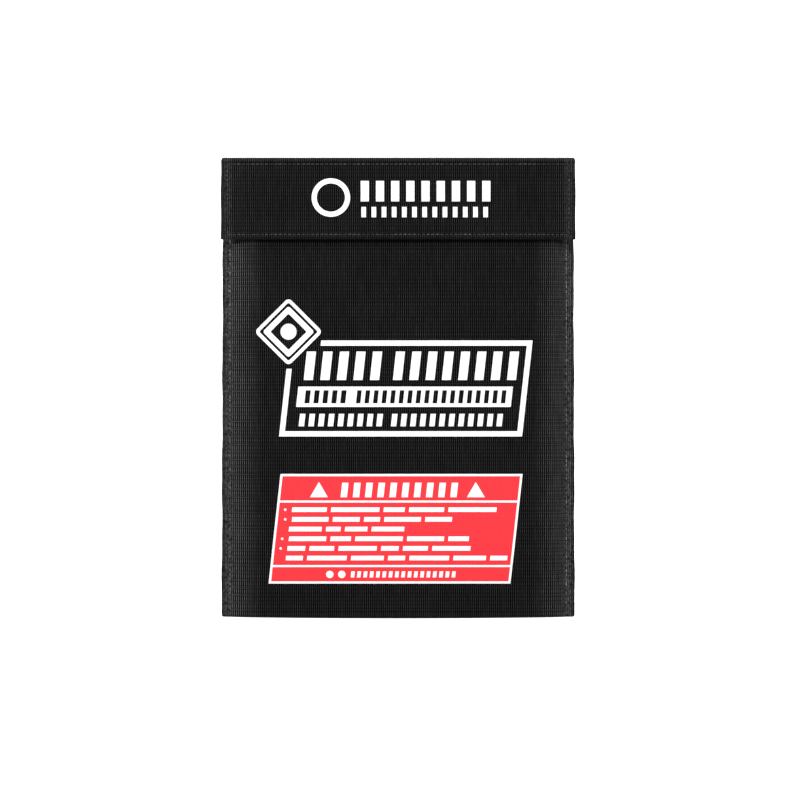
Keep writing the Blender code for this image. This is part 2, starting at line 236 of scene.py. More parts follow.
def noise_node(tree, scale, detail=2.0, stretch=(1, 1, 1)):
    """Noise in the piece's own coordinates, in metres, stretched along an axis where its share is small."""
    place = tree.nodes.new("ShaderNodeTexCoord")
    mapping = tree.nodes.new("ShaderNodeMapping")
    mapping.inputs["Scale"].default_value = stretch
    noise = tree.nodes.new("ShaderNodeTexNoise")
    noise.inputs["Scale"].default_value = scale
    noise.inputs["Detail"].default_value = detail
    tree.links.new(place.outputs["Object"], mapping.inputs["Vector"])
    tree.links.new(mapping.outputs["Vector"], noise.inputs["Vector"])
    return noise.outputs["Fac"]


def spread(tree, value, low, high):
    """Carries 0..1 to low..high, clamped."""
    node = tree.nodes.new("ShaderNodeMapRange")
    node.inputs["To Min"].default_value = low
    node.inputs["To Max"].default_value = high
    tree.links.new(value, node.inputs["Value"])
    return node.outputs["Result"]


def mix_colours(tree, share, low, high):
    """Low at 0 and high at 1. Each is a colour or a socket."""
    node = tree.nodes.new("ShaderNodeMix")
    node.data_type = "RGBA"
    tree.links.new(share, node.inputs["Factor"])
    for socket, value in ((node.inputs[6], low), (node.inputs[7], high)):
        if isinstance(value, tuple):
            socket.default_value = (*value, 1)
        else:
            tree.links.new(value, socket)
    return node.outputs[2]


def weave_profile(tree, rib, row):
    """Round ribs as sin(pi u) across each rib, and a share from 0 to 1 of how light the weave is drawn.

    The share is high on the ribs' tops, as the tenth power of the rib. Every second row of weft makes that
    stronger and the hollows darker. Each row of weft, and each step as long as a rib is wide, adds a low wave
    along the ribs. In the coated cloth's colour the dark hollows are painted shade and the light tops a
    painted highlight.
    """
    uv = tree.nodes.new("ShaderNodeUVMap")
    uv.uv_map = "weave"
    split = tree.nodes.new("ShaderNodeSeparateXYZ")
    tree.links.new(uv.outputs["UV"], split.inputs["Vector"])
    u = math_node(tree, "FRACT", math_node(tree, "DIVIDE", split.outputs["X"], rib))
    ribs = math_node(tree, "SINE", math_node(tree, "MULTIPLY", u, math.pi))

    def wave(length, size):
        turn = math_node(tree, "MULTIPLY", split.outputs["Y"], 2 * math.pi / length)
        return math_node(tree, "MULTIPLY", math_node(tree, "COSINE", turn), size)

    strength = math_node(tree, "ADD", wave(2 * row, 0.50), 1.0)
    tops = math_node(tree, "SUBTRACT", math_node(tree, "POWER", ribs, 10.0), 0.25)
    rows = math_node(tree, "ADD", wave(row, 0.08), math_node(tree, "ADD", wave(rib, 0.10), 0.215))
    light = math_node(tree, "ADD", math_node(tree, "MULTIPLY", tops, strength), rows)
    return ribs, math_node(tree, "MAXIMUM", light, 0.0)


def bump(tree, height, distance, strength=1.0, under=None):
    """A Bump node, with another below it if given."""
    node = tree.nodes.new("ShaderNodeBump")
    node.inputs["Distance"].default_value = distance
    node.inputs["Strength"].default_value = strength
    tree.links.new(height, node.inputs["Height"])
    if under is not None:
        tree.links.new(under, node.inputs["Normal"])
    return node.outputs["Normal"]


def new_material(name):
    material = bpy.data.materials.new(name)
    material.use_nodes = True
    return material, material.node_tree, material.node_tree.nodes["Principled BSDF"]


def place_share(tree, axis, start, end):
    """0 before start and 1 past end along an axis. X counts from the middle to both sides."""
    place = tree.nodes.new("ShaderNodeTexCoord")
    split = tree.nodes.new("ShaderNodeSeparateXYZ")
    tree.links.new(place.outputs["Object"], split.inputs["Vector"])
    edge = tree.nodes.new("ShaderNodeMapRange")
    edge.inputs["From Min"].default_value = start
    edge.inputs["From Max"].default_value = end
    value = split.outputs[axis]
    if axis == "X":
        value = math_node(tree, "ABSOLUTE", value)
    tree.links.new(value, edge.inputs["Value"])
    return edge.outputs["Result"]


def coated_cloth_material(name, flank_sheen_gain, band_wear_and_sheen):
    """Black coated weave, painted near black in the hollows as their shade and charcoal on the rib tops as a
    highlight.

    The ribs are painted lighter towards the sides, a painted sheen where the walls turn over. The sewn side
    bands are painted grey, partly their wear and partly a painted sheen. The top fold is painted lighter
    grey, a painted highlight along its curve, and each side's outermost edge is painted near black, painted
    shade where it turns down.
    """
    material, tree, shader = new_material(name)
    ribs, light = weave_profile(tree, RIB, WEFT)
    yarn = spread(tree, noise_node(tree, 1.0, 3.0, (900, 70, 200)), 0.35, 1.65)
    patch = spread(tree, noise_node(tree, 28.0, 3.0), 0.75, 1.25)
    # Painted sheen: the ribs' colour is made lighter on the flanks, 88 to 106 mm out from the middle.
    flank_sheen = spread(tree, place_share(tree, "X", 0.088, 0.106), 1.0, 1.0 + flank_sheen_gain)
    tone = math_node(tree, "MULTIPLY", math_node(tree, "MULTIPLY", light, yarn), patch)
    tone = math_node(tree, "MULTIPLY", tone, flank_sheen)
    # The face colour runs from near black in the hollows, painted shade, to charcoal on the rib tops, a
    # painted highlight, with random yarn and patch tones.
    face_tone = math_node(tree, "MULTIPLY", tone, 0.25)
    face = mix_colours(tree, face_tone, (0.00005, 0.00005, 0.00005), (0.122, 0.119, 0.125))
    # Grey painted on the sewn side bands: partly their wear and partly a painted sheen, in short streaks that
    # are lighter on the rib tops.
    band_noise = spread(tree, noise_node(tree, 800.0, 2.0, (1.2, 0.6, 1)), -0.8, 1.9)
    streak = math_node(tree, "MULTIPLY", band_noise, math_node(tree, "ADD", light, 0.22))
    mottle = mix_colours(tree, streak, (0.001, 0.001, 0.001), (0.130, 0.127, 0.130))
    wear_and_sheen = math_node(tree, "MULTIPLY", place_share(tree, "X", 0.107, 0.109), band_wear_and_sheen)
    # Painted highlight: the top 2 mm of the top fold are painted lighter grey along its curve.
    fold_highlight = math_node(tree, "MULTIPLY", place_share(tree, "Y", 0.1476, 0.1496), 0.8)
    # Painted shade: the outermost 1.7 mm of each side is mixed towards near black, where the edge turns down.
    hem = math_node(tree, "MULTIPLY", place_share(tree, "X", 0.1125, 0.1142), 0.6)
    sides = mix_colours(tree, hem, mix_colours(tree, wear_and_sheen, face, mottle), (0.006, 0.006, 0.006))
    fold_highlight_tone = math_node(tree, "MULTIPLY", tone, 0.6)
    fold_highlight_colour = mix_colours(tree, fold_highlight_tone, (0.012, 0.012, 0.013), (0.135, 0.130, 0.139))
    tree.links.new(mix_colours(tree, fold_highlight, sides, fold_highlight_colour), shader.inputs["Base Color"])
    hollow = spread(tree, math_node(tree, "MULTIPLY", light, 1.8), 1.00, 0.18)
    rough = math_node(tree, "ADD", hollow, spread(tree, noise_node(tree, 160.0, 4.0), -0.03, 0.08))
    tree.links.new(rough, shader.inputs["Roughness"])
    shader.inputs["Specular IOR Level"].default_value = 0.04
    fine = bump(tree, noise_node(tree, 900.0, 2.0), 0.00001)
    tree.links.new(bump(tree, ribs, 0.00011, 1.0, fine), shader.inputs["Normal"])
    return material


front_coated_cloth = coated_cloth_material("front_coated_cloth", 2.2, 0.85)
front_columns = side_columns(BOTTOM_HALF)
front_cloth = front_sheet("front_cloth", 0.0, front_thickness, BOTTOM_HALF, MOUTH, 290, front_columns)
front_cloth.data.materials.append(front_coated_cloth)
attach(front_cloth, "pouch")
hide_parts("front_panel", "bottom_fold", "left_seam_edge", "right_seam_edge", "mouth_hem")


# ---- Back wall and top fold -------------------------------------------------------------------------------
# The same coated cloth lies flat under the bag and turns up into the top fold. The flap is its free end, so
# the back and the flap meet along the middle of the fold.

FOLD_START = 0.1465
FOLD_REACH = 0.150 - FOLD_START
FLAP_TOP = float(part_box("flap_cover")[1][2])
FOLD_RISE = FLAP_TOP / 2
FLAP_HALF = float(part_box("flap_cover")[1][0]) - 0.0005


def fold_arc(angle, depth):
    """(y, z) on the half ellipse of the top fold, moved in along its normal by depth."""
    along_y, along_z = FOLD_REACH * np.cos(angle), FOLD_RISE * np.sin(angle)
    length = np.hypot(along_y, along_z)
    y = FOLD_START + FOLD_REACH * np.sin(angle) - depth * along_z / length
    z = FOLD_RISE * (1 - np.cos(angle)) + depth * along_y / length
    return y, z


def back_sheet(name, depth, thickness, share, rows, columns):
    """Level from the bottom fold to the top fold, then a quarter turn round it. The outside looks down."""
    angles = np.linspace(0, np.pi / 2, 15)[1:, None]
    columns = -columns
    seam_x = columns[None, :] * 0.1142 * share
    radius = front_height(seam_x, FOLD_Y) / 2
    start_y = bottom_edge(seam_x) + radius
    y = start_y + (FOLD_START - start_y) * np.linspace(0, 1, rows)[:, None]
    x = columns[None, :] * body_half_width(y) * share
    lift = 0.00028 * ease((np.abs(x) - 0.1075) / 0.002) * ease((y - BOTTOM - 0.006) / 0.010)
    lift = lift * ease((FOLD_START - y) / 0.006)
    groove = 0.0003 * np.exp(-(((np.abs(x) - SEAM_STITCH) / 0.00075) ** 2)) * (lift > 0)
    wall = thickness(x, y)
    level_outer = np.stack([x, y, depth + lift + groove], -1)
    level_inner = np.stack([x, y, depth + lift * 0.5 + wall], -1)
    arc_x = columns[None, :] * MOUTH_HALF * share + 0 * angles
    arc_wall = thickness(arc_x, FOLD_START + 0 * arc_x)
    outer_y, outer_z = fold_arc(angles, depth + 0 * arc_x)
    inner_y, inner_z = fold_arc(angles, depth + arc_wall)
    outer = np.concatenate([level_outer, np.stack([arc_x, outer_y, outer_z], -1)])
    inner = np.concatenate([level_inner, np.stack([arc_x, inner_y, inner_z], -1)])
    arc_length = FOLD_START + angles * (FOLD_REACH + FOLD_RISE) / 2
    texture = np.concatenate([np.stack([x, y], -1), np.stack([arc_x, arc_length + 0 * arc_x], -1)])
    return sheet_mesh(name, outer, inner, texture)


def back_thickness(x, y):
    """One layer of cloth, and two where the sides are turned in."""
    return CLOTH + 0.0005 * ease((np.abs(x) - (SEAM_HALF - TURN_IN)) / HEM_STEP)


back_cloth = back_sheet("back_cloth", 0.0, back_thickness, 1.0, 150, side_columns(0.1140, 0.0008, 0.006))
back_cloth.data.materials.append(coated_cloth_material("back_coated_cloth", 0.0, 0.60))
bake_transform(back_cloth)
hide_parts("back_panel")


# ---- Flap -------------------------------------------------------------------------------------------------
# The free end of the back, folded over the mouth. Its three edges are turned in and one row of stitching runs
# round it, so the cloth dips along the thread and puffs a little at the hems. Its two lower corners sag.

FLAP_STITCH_LOW = FLAP_EDGE + 0.0030
FLAP_STITCH_HIGH = 0.1451
FLAP_STITCH_SIDE = FLAP_HALF - 0.0037


def flap_sag(x, y):
    """How far the flap hangs below its level: the two corners, and a shallow wave along the free edge."""
    corner = 0.0016 * ease((np.abs(x) - 0.080) / 0.036) * ease((0.138 - y) / 0.040)
    wave = 0.00022 * np.sin(x / 0.0190 + 0.5) * ease((0.125 - y) / 0.028)
    return corner + wave


def flap_height(x, y):
    """Outside of the flap: level less the sag, a groove along each row of stitching, and puckered hems."""
    across = np.abs(x) - FLAP_STITCH_SIDE
    groove = np.exp(-((across / 0.0007) ** 2))
    for line in (FLAP_STITCH_LOW, FLAP_STITCH_HIGH):
        inside = ease(-across / 0.0006 + 1)
        groove = np.maximum(groove, inside * np.exp(-(((y - line) / 0.0007) ** 2)))
    past_side, past_low = ease(across / HEM_STEP), ease((FLAP_STITCH_LOW - y) / HEM_STEP)
    outside = np.maximum(past_side, past_low)
    side_wave = np.sin(2 * np.pi * (y + 0.4 * np.abs(x)) / 0.0058) * past_side
    low_wave = np.sin(2 * np.pi * (x + 0.3 * y) / 0.0066 + np.sin(x / 0.017)) * past_low
    near_side = np.exp(-(((across + 0.002) / 0.0016) ** 2))
    near = near_side + np.exp(-(((y - FLAP_STITCH_LOW - 0.002) / 0.0016) ** 2))
    puffs = 0.00010 * near * np.sin(2 * np.pi * (x + y) / 0.0061)
    waves = 0.00012 * np.sin(x / 0.0230 + 0.7) * np.sin(y / 0.0150)
    hem = 0.00013 * outside * (1 + 1.5 * side_wave + 1.5 * low_wave)
    return FLAP_TOP - 0.0001 - flap_sag(x, y) - 0.00042 * groove + hem + puffs + waves


def flap_sheet(name, depth, thickness, half, low_edge, rows, columns):
    """The second quarter of the top fold, then level to the free edge. The outside looks up."""
    angles = np.linspace(np.pi / 2, np.pi, 15)[:-1, None]
    columns = -columns
    y = FOLD_START + (low_edge - FOLD_START) * rows[:, None]
    widen = half + 0.0002 * ease((FOLD_START - y) / 0.040) + 0.00012 * np.sin(y / 0.0047)
    x = columns[None, :] * widen
    wall = thickness(x, y)
    join = ease((FOLD_START - y) / 0.0010)
    height = FLAP_TOP + (flap_height(x, y) - FLAP_TOP) * join
    outer_level = np.stack([x, y + 0 * x, height - depth], -1)
    inner_level = np.stack([x, y + 0 * x, height - depth - wall], -1)
    half_here = half - (half - min(half, MOUTH_HALF)) * ease(2 - 2 * angles / np.pi)
    arc_x = columns[None, :] * half_here
    arc_wall = thickness(arc_x, FOLD_START + 0 * arc_x)
    outer_y, outer_z = fold_arc(angles, depth + 0 * arc_x)
    inner_y, inner_z = fold_arc(angles, depth + arc_wall)
    outer = np.concatenate([np.stack([arc_x, outer_y, outer_z], -1), outer_level])
    inner = np.concatenate([np.stack([arc_x, inner_y, inner_z], -1), inner_level])
    arc_length = FOLD_START + (np.pi - angles) * (FOLD_REACH + FOLD_RISE) / 2
    texture = np.concatenate([np.stack([arc_x, arc_length + 0 * arc_x], -1), np.stack([x, y + 0 * x], -1)])
    return sheet_mesh(name, outer, inner, texture)


def flap_thickness(x, y):
    """One layer of cloth, and two where the sides and the free edge are turned in."""
    sides = ease((np.abs(x) - (FLAP_HALF - TURN_IN)) / HEM_STEP)
    low = ease((FLAP_EDGE + TURN_IN - y) / HEM_STEP)
    return CLOTH + 0.0006 * np.maximum(sides, low)


flap_rows = np.concatenate([
    np.linspace(0, 0.13, 12)[:-1], np.linspace(0.13, 0.84, 22)[:-1], np.linspace(0.84, 1, 20),
])
flap_columns = side_columns(FLAP_HALF, 0.0006, 0.0015)
flap_cloth = flap_sheet("flap_cloth", 0.0, flap_thickness, FLAP_HALF, FLAP_EDGE, flap_rows, flap_columns)
flap_cloth.data.materials.append(coated_cloth_material("flap_coated_cloth", 0.25, 0.35))
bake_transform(flap_cloth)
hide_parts("flap_cover", "top_fold")


# ---- Linings ----------------------------------------------------------------------------------------------
# A plain-woven glass-fibre barrier cloth, pale grey, lies inside each wall and turns with the folds. It shows
# only at the open mouth and under the flap. Its edges are caught under the turned-in hems.

LINING = 0.0003
LINING_DEPTH = 0.0009
FRONT_LINING_HALF = 0.1062
BACK_LINING_HALF = 0.1074


def lining_thickness(x, y):
    return LINING + 0 * x + 0 * y


def barrier_material():
    """Pale glass cloth: an even over-and-under check of fine yarns, with grey hollows."""
    material, tree, shader = new_material("barrier_cloth")
    height = weave_profile(tree, 0.0009, 0.0009)[1]
    patch = spread(tree, noise_node(tree, 60.0, 3.0), 0.6, 1.0)
    tone = math_node(tree, "MULTIPLY", height, patch)
    colour = mix_colours(tree, tone, (0.16, 0.16, 0.15), (0.52, 0.52, 0.49))
    tree.links.new(colour, shader.inputs["Base Color"])
    tree.links.new(spread(tree, noise_node(tree, 300.0), 0.6, 0.8), shader.inputs["Roughness"])
    shader.inputs["Sheen Weight"].default_value = 0.15
    tree.links.new(bump(tree, height, 0.00018, 0.8), shader.inputs["Normal"])
    return material


barrier_cloth = barrier_material()
lining_columns = side_columns(0.1060, 0.0012, 0.006)
front_lining = front_sheet(
    "front_lining_cloth", LINING_DEPTH, lining_thickness,
    FRONT_LINING_HALF, MOUTH - 0.0103, 90, lining_columns,
)
back_lining = back_sheet(
    "back_lining_cloth", LINING_DEPTH, lining_thickness,
    BACK_LINING_HALF / MOUTH_HALF, 90, lining_columns,
)
flap_lining = flap_sheet(
    "flap_lining_cloth", LINING_DEPTH, lining_thickness,
    BACK_LINING_HALF, FLAP_EDGE + 0.0076, np.linspace(0, 1, 36), lining_columns,
)
for piece in (front_lining, back_lining, flap_lining):
    piece.data.materials.append(barrier_cloth)
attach(front_lining, "pouch")
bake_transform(back_lining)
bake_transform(flap_lining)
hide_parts("front_lining", "bottom_fold_lining")
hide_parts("back_lining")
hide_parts("flap_lining", "top_fold_lining")


# ---- Hook-and-loop tape -----------------------------------------------------------------------------------
# Two woven nylon tapes, 208 mm long. The loop tape is sewn across the front wall under the flap and carries a
# nap of fine loops. The hook tape is sewn to the flap's lining and carries rows of bent hooks.

TAPE_HALF = float(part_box("loop_strip")[1][0])
LOOP_LOW, LOOP_HIGH = float(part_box("loop_strip")[0][1]), float(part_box("loop_strip")[1][1])
HOOK_LOW, HOOK_HIGH = float(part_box("hook_strip")[0][1]), float(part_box("hook_strip")[1][1])
HOOK_INSET = 0.0036
TAPE_BASE = 0.0004
HOOK = 0.0006


def tape_sheet(name, low, high, face, back):
    """A tape that follows a surface: face and back are functions of x and y that give its two heights."""
    x = np.linspace(-TAPE_HALF, TAPE_HALF, 160)[None, :]
    y = np.linspace(low, high, 24)[:, None]
    x, y = x + 0 * y, y + 0 * x
    grid = (np.stack([x, y, face(x, y)], -1), np.stack([x, y, back(x, y)], -1), np.stack([x, y], -1))
    return sheet_mesh(name, *grid)


def tubes(name, lines, radii, sides, reference):
    """Round rods along many lines (n, stations, 3) at once, each with its two ends closed.

    Each station has a ring: line + radius * (cos a * side + sin a * normal), where side is the tangent
    crossed with the reference direction.
    """
    count, stations = lines.shape[:2]
    tangent = np.gradient(lines, axis=1)
    tangent /= np.linalg.norm(tangent, axis=2, keepdims=True)
    side = np.cross(tangent, np.broadcast_to(reference, lines.shape))
    side /= np.linalg.norm(side, axis=2, keepdims=True)
    normal = np.cross(side, tangent)
    turn = np.linspace(0, 2 * np.pi, sides, endpoint=False)
    ring = side[:, :, None] * np.cos(turn)[:, None] + normal[:, :, None] * np.sin(turn)[:, None]
    points = lines[:, :, None] + ring * np.asarray(radii)[None, :, None, None]
    index = np.arange(count * stations * sides).reshape(count, stations, sides)
    after = np.roll(index, -1, axis=2)
    quads = np.stack([index[:, :-1], index[:, 1:], after[:, 1:], after[:, :-1]], -1).reshape(-1, 4)
    ends = index[:, 0].tolist() + index[:, -1, ::-1].tolist()
    mesh = bpy.data.meshes.new(name)
    mesh.from_pydata(points.reshape(-1, 3).tolist(), [], quads.tolist() + ends)
    mesh.shade_smooth()
    piece = bpy.data.objects.new(name, mesh)
    bpy.context.scene.collection.objects.link(piece)
    return piece


def nap_places(low, high, pitch_x, pitch_y, seed):
    """Jittered rows of places on a tape, as x, y and a turn for each."""
    random = np.random.default_rng(seed)
    along = np.arange(-TAPE_HALF + 0.002, TAPE_HALF - 0.0015, pitch_x)
    x, y = np.meshgrid(along, np.arange(low + 0.002, high - 0.0018, pitch_y))
    x = x + random.uniform(-0.2, 0.2, x.shape) * pitch_x
    y = y + random.uniform(-0.15, 0.15, y.shape) * pitch_y
    return x.ravel(), y.ravel(), random.uniform(-1, 1, x.size)


def tape_material(name, low, high, sheen):
    """Woven nylon tape with a fuzzy nap: mottled black, rough, with a soft sheen."""
    material, tree, shader = new_material(name)
    fuzz = noise_node(tree, 900.0, 5.0)
    tree.links.new(mix_colours(tree, fuzz, low, high), shader.inputs["Base Color"])
    shader.inputs["Roughness"].default_value = 0.88
    shader.inputs["Specular IOR Level"].default_value = 0.1
    shader.inputs["Sheen Weight"].default_value = sheen
    under = bump(tree, weave_profile(tree, 0.0008, 0.0012)[1], 0.00012, 0.7)
    tree.links.new(bump(tree, fuzz, 0.00025, 0.8, under), shader.inputs["Normal"])
    return material


nap_black = tape_material("loop_nap", (0.004, 0.004, 0.004), (0.020, 0.020, 0.021), 0.05)
hook_black = tape_material("hook_tape", (0.004, 0.004, 0.004), (0.015, 0.015, 0.016), 0.02)
loop_tape = tape_sheet(
    "loop_tape", LOOP_LOW, LOOP_HIGH,
    lambda x, y: front_height(x, y) + 0.00012 + TAPE_BASE, lambda x, y: front_height(x, y) + 0.00008,
)
hook_level = LINING_DEPTH + LINING
hook_tape = tape_sheet(
    "hook_tape", HOOK_LOW + HOOK_INSET, HOOK_HIGH,
    lambda x, y: flap_height(x, y) - hook_level - 0.00008,
    lambda x, y: flap_height(x, y) - hook_level - 0.00012 - TAPE_BASE,
)
x, y, turn = nap_places(LOOP_LOW, LOOP_HIGH, 0.0016, 0.0013, 5)
sweep = np.linspace(0, np.pi, 5)[None, :]
reach = 0.00045 * np.cos(sweep)
base = front_height(x, y)[:, None] + 0.0004
loops = np.stack([
    x[:, None] + reach * np.cos(turn * 3)[:, None],
    y[:, None] + reach * np.sin(turn * 3)[:, None],
    base + 0.00038 * np.sin(sweep) + 0 * turn[:, None],
], -1)
loop_nap = tubes("loop_nap", loops, [0.00006] * 5, 3, (0.31, 0.17, 0.93))
x, y, turn = nap_places(HOOK_LOW + HOOK_INSET, HOOK_HIGH, 0.0015, 0.0012, 8)
along = np.array([0, 0.25, 0.42, 0.50, 0.42])[None, :] * HOOK
drop = np.array([0, 0.45, 0.85, 0.70, 0.42])[None, :] * HOOK
roots = flap_height(x, y)[:, None] - hook_level - 0.0004
hooks = np.stack([x[:, None] + 0.0001 * turn[:, None] + 0 * along, y[:, None] - along, roots - drop], -1)
hook_rows = tubes("hook_rows", hooks, [0.00009, 0.00008, 0.00007, 0.00006, 0.00005], 4, (1, 0, 0))
for piece, material, body in (
    (loop_tape, nap_black, "pouch"), (loop_nap, nap_black, "pouch"),
    (hook_tape, hook_black, "flap"), (hook_rows, hook_black, "flap"),
):
    piece.data.materials.append(material)
    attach(piece, body)
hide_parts("loop_strip")
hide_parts("hook_strip")


# ---- Stitching --------------------------------------------------------------------------------------------
# Lock stitches of polyester thread, 3 mm long: a row of grey thread down each side of the pouch, and charcoal
# rows along the mouth, round the flap and round each tape. Each stitch comes up out of the cloth and goes
# back in.

STITCH = 0.0030
THREAD = 0.00024


def stitch_rows(name, lines, height, above=1, lean=0.10):
    """Separate stitches along straight lines: rods whose ends dip, as 2.6 * (2t)^4 of the thread's radius."""
    t = np.linspace(-0.5, 0.5, 7)
    every = []
    for start, end in lines:
        start, end = np.array(start), np.array(end)
        length = np.linalg.norm(end - start)
        direction = (end - start) / length
        count = max(2, round(length / STITCH))
        middle = start + (np.arange(count)[:, None] + 0.5) * direction * length / count
        slant = direction * math.cos(lean) + np.array([-direction[1], direction[0]]) * math.sin(lean)
        flat = middle[:, None] + t[None, :, None] * slant * 0.84 * length / count
        z = height(flat[..., 0], flat[..., 1]) + above * (THREAD * 0.75 - THREAD * 2.6 * (2 * t) ** 4)
        every.append(np.concatenate([flat, z[..., None]], -1))
    radii = THREAD * (1 - 0.35 * (2 * t) ** 6)
    return tubes(name, np.concatenate(every), radii, 8, (0, 0, 1))


def thread_material(name, dark, light):
    """Twisted thread: fine slanting bands, a little glossy."""
    material, tree, shader = new_material(name)
    place = tree.nodes.new("ShaderNodeTexCoord")
    twist = tree.nodes.new("ShaderNodeTexWave")
    twist.bands_direction = "DIAGONAL"
    twist.inputs["Scale"].default_value = 900.0
    twist.inputs["Distortion"].default_value = 1.0
    tree.links.new(place.outputs["Object"], twist.inputs["Vector"])
    ply = twist.outputs["Fac"]
    mottle = spread(tree, noise_node(tree, 220.0, 3.0), -1.5, 2.4)
    tone = math_node(tree, "MULTIPLY", ply, mottle)
    tree.links.new(mix_colours(tree, tone, dark, light), shader.inputs["Base Color"])
    shader.inputs["Roughness"].default_value = 0.48
    tree.links.new(bump(tree, ply, 0.00008, 0.8), shader.inputs["Normal"])
    return material


def box_lines(left, low, right, high):
    """The four sides of a rectangle."""
    corners = [(left, low), (right, low), (right, high), (left, high)]
    return list(zip(corners, corners[1:] + corners[:1]))


def seam_line(x, low):
    """A line beside a side edge, from low to the mouth."""
    return ((x, low), (x, MOUTH - 0.002))


thread = thread_material("charcoal_thread", (0.010, 0.010, 0.011), (0.13, 0.13, 0.133))
seam_thread = thread_material("seam_thread", (0.03, 0.03, 0.031), (0.48, 0.48, 0.485))
side = FLAP_STITCH_SIDE
tape = TAPE_HALF - 0.0014
flap_box = box_lines(-side, FLAP_STITCH_LOW, side, FLAP_STITCH_HIGH)
mouth_y = MOUTH - 0.0018
rows = (
    ("left_seam_stitches", [seam_line(-SEAM_STITCH, BOTTOM + 0.005)], front_height, 1, "left_seam_thread"),
    ("right_seam_stitches", [seam_line(SEAM_STITCH, BOTTOM + 0.005)], front_height, 1, "right_seam_thread"),
    ("mouth_stitches", [((-TAPE_HALF, mouth_y), (TAPE_HALF, mouth_y))], front_height, 1, "mouth_hem_thread"),
    ("flap_stitches", flap_box, flap_height, 1, "flap_thread"),
    ("loop_tape_stitches", box_lines(-tape, LOOP_LOW + 0.0012, tape, LOOP_HIGH - 0.0012),
     lambda x, y: front_height(x, y) + 0.0005, 1, None),
    ("hook_tape_stitches", box_lines(-tape, HOOK_LOW + 0.0048, tape, HOOK_HIGH - 0.0012),
     lambda x, y: flap_height(x, y) - 0.0017, -1, None),
    ("flap_under_stitches", flap_box, lambda x, y: flap_height(x, y) - 0.00122, -1, None),
    ("back_seam_stitches", [seam_line(s * SEAM_STITCH, BOTTOM + 0.016) for s in (-1, 1)],
     lambda x, y: 0.00048 + 0 * x, -1, None),
)
for name, lines, height, above, node in rows:
    piece = stitch_rows(name, lines, height, above)
    piece.data.materials.append(seam_thread if "seam" in name else thread)
    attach(piece, "flap" if "flap" in name or "hook" in name else "pouch")
    if node:
        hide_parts(node)


# ---- Print on the flap ------------------------------------------------------------------------------------
# White transfer film pressed into the cloth, so the ribs of the weave show through it: a plain ring and two
# rows of plain blocks.

FILM = 0.00010
LIFT = 0.00006
SECOND_LIFT = 0.00017
THIRD_LIFT = 0.00028
LEAN = 0.11


def film_patch(name, x, y, height, lift, around=False):
    """A film over the grid x, y (rows, columns), lying lift above a surface and following its shape."""
    base = height(x, y) + lift
    outer, inner = np.stack([x, y, base + FILM], -1), np.stack([x, y, base], -1)
    piece = sheet_mesh(name, outer, inner, np.stack([x, y], -1), rim=0.2, rim_steps=2, around=around)
    piece.data.set_sharp_from_angle(angle=math.radians(35))
    return piece


def block_grid(left, low, right, high, lean=0.0, step=0.003):
    """A grid over a block whose sides lean: x moves right by lean times y from the block's middle."""
    u = np.linspace(left, right, 2 + round((right - left) / step))[None, :]
    v = np.linspace(low, high, 2 + round((high - low) / step))[:, None]
    return u + lean * (v - (low + high) / 2), v + 0 * u


def ring_grid(centre_x, centre_y, outside, inside, count=72):
    """A flat ring: each column is one angle, and the rows run from the outside in."""
    angle = np.linspace(0, 2 * np.pi, count, endpoint=False)[None, :]
    radius = np.linspace(outside, inside, 4)[:, None]
    return centre_x + radius * np.cos(angle), centre_y + radius * np.sin(angle)


def disc_grid(centre_x, centre_y, radius, steps=7):
    """A disc from a square grid: x = u sqrt(1 - v^2 / 2), y = v sqrt(1 - u^2 / 2)."""
    u, v = np.meshgrid(np.linspace(-1, 1, steps), np.linspace(-1, 1, steps))
    return centre_x + radius * u * np.sqrt(1 - v * v / 2), centre_y + radius * v * np.sqrt(1 - u * u / 2)


def join_pieces(name, pieces):
    """Makes one piece of several films of the same kind."""
    with bpy.context.temp_override(active_object=pieces[0], selected_editable_objects=pieces):
        bpy.ops.object.join()
    pieces[0].name = pieces[0].data.name = name
    return pieces[0]


def film_material(name, colour, hollow):
    """Satin film over the weave: a shade darker in the hollows between the ribs."""
    material, tree, shader = new_material(name)
    ribs, light = weave_profile(tree, RIB, WEFT)
    tone = math_node(tree, "MULTIPLY", light, spread(tree, noise_node(tree, 90.0, 3.0), 0.85, 1.15))
    shade = mix_colours(tree, spread(tree, tone, 0.1, 1.0), hollow, colour)
    tree.links.new(shade, shader.inputs["Base Color"])
    tree.links.new(spread(tree, noise_node(tree, 200.0, 3.0), 0.42, 0.55), shader.inputs["Roughness"])
    shader.inputs["Specular IOR Level"].default_value = 0.14
    tree.links.new(bump(tree, ribs, 0.00006), shader.inputs["Normal"])
    return material


def finish_film(piece, material, slot, body, *nodes):
    piece.data.materials.append(material)
    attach(piece, body)
    if nodes:
        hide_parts(*nodes)


def block_row(left, low, right, high, count, gap, height, lift, lean=LEAN):
    """Equal blocks in a row, as separate films."""
    width = (right - left - gap * (count - 1)) / count
    starts = left + np.arange(count) * (width + gap)
    return [film_patch("block", *block_grid(s, low, s + width, high, lean), height, lift) for s in starts]


